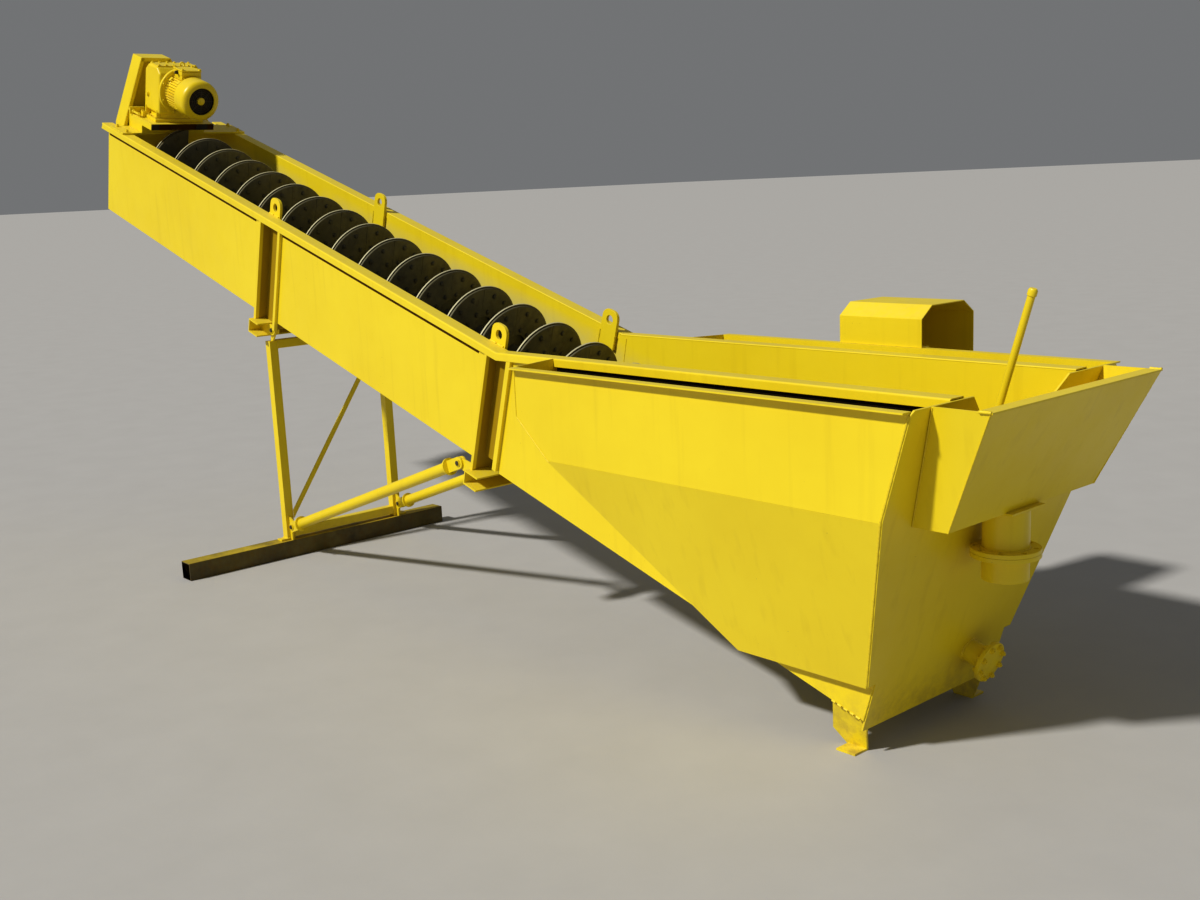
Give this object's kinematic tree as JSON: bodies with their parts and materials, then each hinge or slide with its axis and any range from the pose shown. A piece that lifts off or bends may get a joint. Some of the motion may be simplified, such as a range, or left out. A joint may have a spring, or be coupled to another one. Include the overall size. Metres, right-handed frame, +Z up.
{
  "type": "spiral classifier",
  "caption": "Inclined single-screw sand classifier: a sloping trough with a helical screw, a settling tank with weir and overflow box, a geared drive, and a leg frame on a skid beam.",
  "frame": {"origin": "point on the underside of the skid beam, on the machine's mid-plane, on the ground", "axes": "+X along the machine from the leg frame to the overflow end, +Y to the far side that carries the feed hood, +Z up"},
  "size_m": [6.9211, 2.055, 3.0463],
  "materials": {
    "shell_paint": "semi-gloss",
    "frame_paint": "semi-gloss",
    "drive_paint": "semi-gloss",
    "screw_steel": "matte",
    "shoe_iron": "matte",
    "bare_steel": "matte"
  },
  "bodies": {
    "frame": {"near_rim": "shell_paint", "far_rim": "shell_paint", "near_inner_wall": "shell_paint", "far_inner_wall": "shell_paint", "trough_bottom": "shell_paint", "near_head_panel": "shell_paint", "far_head_panel": "shell_paint", "near_middle_panel": "shell_paint", "far_middle_panel": "shell_paint", "near_tank_panel": "shell_paint", "far_tank_panel": "shell_paint", "near_upper_rib": "shell_paint", "far_upper_rib": "shell_paint", "near_bend_rib": "shell_paint", "far_bend_rib": "shell_paint", "grease_pipe": "shell_paint", "near_upper_lug": "shell_paint", "far_upper_lug": "shell_paint", "near_bend_lug": "shell_paint", "far_bend_lug": "shell_paint", "upper_end_plate": "shell_paint", "end_wall": "shell_paint", "near_tank_side": "shell_paint", "far_tank_side": "shell_paint", "near_tank_bottom": "shell_paint", "far_tank_bottom": "shell_paint", "overflow_box": "shell_paint", "outlet_pipe": "shell_paint", "outlet_stub": "shell_paint", "drain_branch": "shell_paint", "near_foot": "shell_paint", "far_foot": "shell_paint", "feed_hood": "shell_paint", "upper_crossmember": "frame_paint", "bend_crossmember": "frame_paint", "drive_bridge": "frame_paint", "drive_base": "frame_paint", "chain_guard": "frame_paint", "near_post": "frame_paint", "far_post": "frame_paint", "top_bar": "frame_paint", "bottom_bar": "frame_paint", "diagonal_brace": "frame_paint", "near_pipe_brace": "frame_paint", "far_pipe_brace": "frame_paint", "top_bearing": "drive_paint", "gearbox": "drive_paint", "motor": "drive_paint", "fan_cowl": "drive_paint", "terminal_box": "drive_paint", "tail_bearing": "drive_paint", "skid_beam": "bare_steel"},
    "screw": {"screw_shaft": "screw_steel", "screw_flight": "screw_steel", "wear_shoes": "shoe_iron"}
  },
  "joints": [
    {"name": "screw_turn", "type": "hinge", "parent": "frame", "child": "screw", "pos_m": [1.17294, 0, 1.41095], "axis": [0.9563, 0, -0.2924], "continuous": true}
  ]
}
